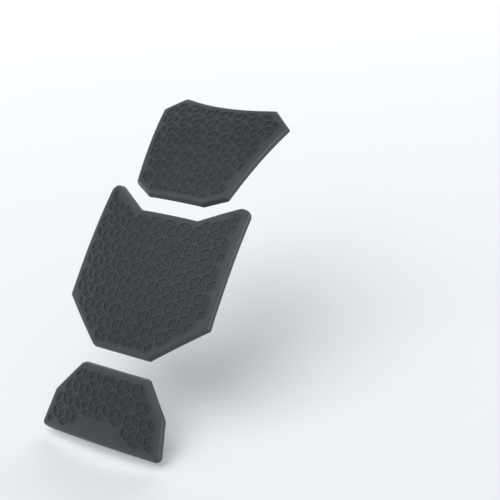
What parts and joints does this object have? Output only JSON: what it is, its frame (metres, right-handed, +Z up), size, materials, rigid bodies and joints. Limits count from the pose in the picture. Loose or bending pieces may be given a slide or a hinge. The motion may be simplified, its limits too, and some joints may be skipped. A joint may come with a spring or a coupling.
{
  "type": "motorcycle tank pad",
  "caption": "Stick-on tank pad set in dark rubber with bevelled rims and a relief of rhombic recesses, bent to the crown of the tank it protects.",
  "frame": {"origin": "on the back face of the middle pad, half way up its centre line, where the adhesive meets the tank", "axes": "+X to the rider's right, +Y forward along the tank, +Z up; each pad is a mirror image of itself across the YZ plane"},
  "size_m": [0.1282, 0.2302, 0.1803],
  "materials": {
    "pad_rubber": "satin charcoal moulded rubber"
  },
  "bodies": {
    "root": {"upper_pad": "pad_rubber", "middle_pad": "pad_rubber", "lower_pad": "pad_rubber"}
  },
  "joints": []
}
